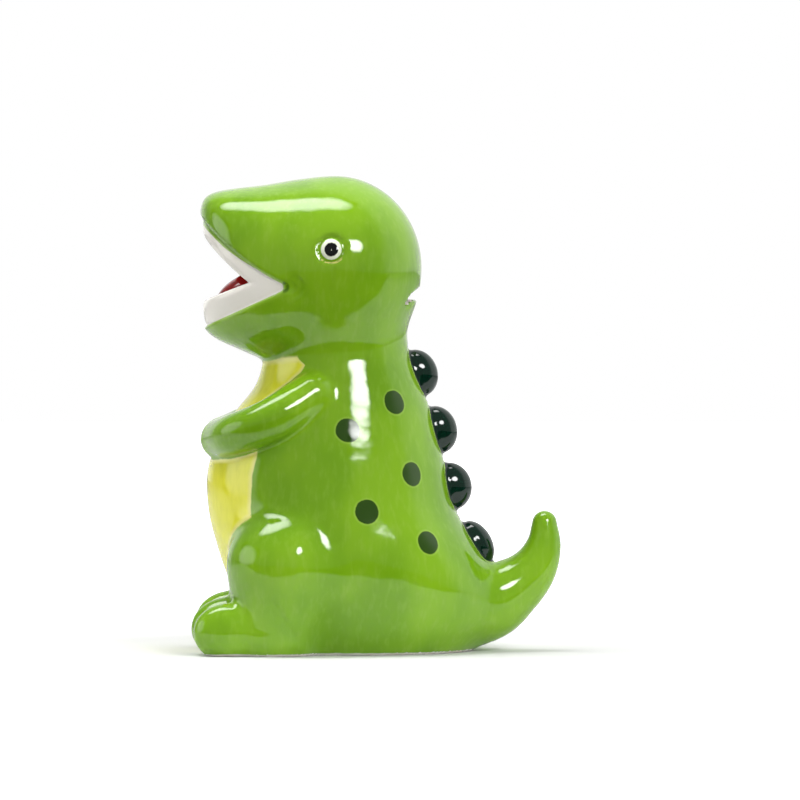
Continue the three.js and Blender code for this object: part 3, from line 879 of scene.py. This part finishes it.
def floorMaterial():
    # white and seamless to the eye; the lit table itself ends a little way in front of the figure
    sheet = Sheet("paleFloor")
    place = sheet.add("ShaderNodeTexCoord").outputs["Object"]
    split = sheet.add("ShaderNodeSeparateXYZ", {0: place})
    away = sheet.add("ShaderNodeVectorMath", {0: place}, operation="LENGTH").outputs["Value"]
    table = sheet.ramp(split.outputs[0], studio["tableEdge"] + 0.01, studio["tableEdge"] - 0.01)
    seen = sheet.add("ShaderNodeLightPath").outputs["Is Camera Ray"]
    lit = sheet.maths("MAXIMUM", table, seen)
    colour = sheet.blend(lit, studio["beyond"], studio["table"])
    sheet.put(sheet.shader.inputs["Base Color"], colour)
    sheet.put(sheet.shader.inputs["Roughness"], 0.7)
    sheet.put(sheet.shader.inputs["Specular IOR Level"], 0.0)
    glow = sheet.maths("MULTIPLY", sheet.ramp(away, 0.12, 0.3), seen)
    sheet.put(sheet.shader.inputs["Emission Color"], [1, 1, 1, 1])
    sheet.put(sheet.shader.inputs["Emission Strength"], glow)
    return sheet.material


def makeFloor():
    half = studio["floor"]
    corners = np.array([[-half, -half, 0], [half, -half, 0], [half, half, 0], [-half, half, 0]]) / mm
    floor = meshObject("floor", corners, np.array([[0, 1, 2, 3]]))
    floor.data.materials.append(floorMaterial())


def softBox(name, azimuth, elevation, distance, size, glow):
    # a glowing panel that fades towards its edges; azimuth 0 is ahead of the snout, 90 is the camera's side
    az, el = math.radians(azimuth), math.radians(elevation)
    out = np.array([math.sin(az) * math.cos(el), -math.cos(az) * math.cos(el), math.sin(el)])
    side = np.array([math.cos(az), math.sin(az), 0])
    rise = np.cross(out, side)
    middle = np.array([0, 0, 0.1]) + out * distance
    signs = [(-1, -1), (1, -1), (1, 1), (-1, 1)]
    corners = np.array([middle + side * u * size[0] / 2 + rise * v * size[1] / 2 for u, v in signs])
    panel = meshObject(name, corners / mm, np.array([[0, 1, 2, 3]]))
    sheet = Sheet(name)
    squares = []
    for k, label in enumerate(["across", "up"]):
        values = panel.data.attributes.new(label, "FLOAT", "POINT")
        values.data.foreach_set("value", [float(sign[k]) for sign in signs])
        squares.append(sheet.maths("POWER", sheet.maths("ABSOLUTE", sheet.zone(label)), 2.5))
    fromMiddle = sheet.maths("ADD", *squares)
    strength = sheet.maths("MULTIPLY", glow, sheet.ramp(fromMiddle, 1.0, 0.1))
    lamp = sheet.add("ShaderNodeEmission", {"Color": [1, 1, 1, 1], "Strength": strength})
    sheet.put(sheet.tree.nodes["Material Output"].inputs["Surface"], lamp.outputs[0])
    sheet.tree.nodes.remove(sheet.shader)
    panel.data.materials.append(sheet.material)
    panel.visible_camera = False


def makeWorld():
    world = bpy.data.worlds.new("studio")
    bpy.context.scene.world = world
    world.use_nodes = True
    tree = world.node_tree
    background = tree.nodes["Background"]
    place = tree.nodes.new("ShaderNodeTexCoord")
    aside = tree.nodes.new("ShaderNodeVectorMath")
    aside.operation = "DOT_PRODUCT"
    aside.inputs[1].default_value = studio["backdropSide"]
    tree.links.new(place.outputs["Generated"], aside.inputs[0])
    behind = tree.nodes.new("ShaderNodeMapRange")
    behind.interpolation_type = "SMOOTHSTEP"
    for limit, value in studio["backdrop"].items():
        behind.inputs[limit].default_value = value
    tree.links.new(aside.outputs["Value"], behind.inputs["Value"])
    rays = tree.nodes.new("ShaderNodeLightPath")
    seen = tree.nodes.new("ShaderNodeMath")
    seen.operation = "MAXIMUM"
    tree.links.new(behind.outputs[0], seen.inputs[0])
    tree.links.new(rays.outputs["Is Camera Ray"], seen.inputs[1])
    tree.links.new(seen.outputs[0], background.inputs["Strength"])
    background.inputs["Color"].default_value = (1, 1, 1, 1)


def makeCamera():
    data = bpy.data.cameras.new("camera")
    data.sensor_width = studio["sensor"]
    data.lens = studio["sensor"] * studio["distance"] / studio["width"]
    camera = bpy.data.objects.new("camera", data)
    lift = math.radians(studio["elevation"])
    out = np.array([math.cos(lift), 0, math.sin(lift)])
    camera.location = np.array(studio["aim"]) + out * studio["distance"]
    camera.rotation_euler = Vector(out).to_track_quat("Z", "Y").to_euler()
    bpy.context.collection.objects.link(camera)
    bpy.context.scene.camera = camera


makeFloor()
makeWorld()
for name, azimuth, elevation, distance, size, glow in studio["lamps"]:
    softBox(name, azimuth, elevation, distance, size, glow)
makeCamera()
print("studio", len(studio["lamps"]), "lamps")
bpy.context.scene.view_settings.view_transform = "Standard"
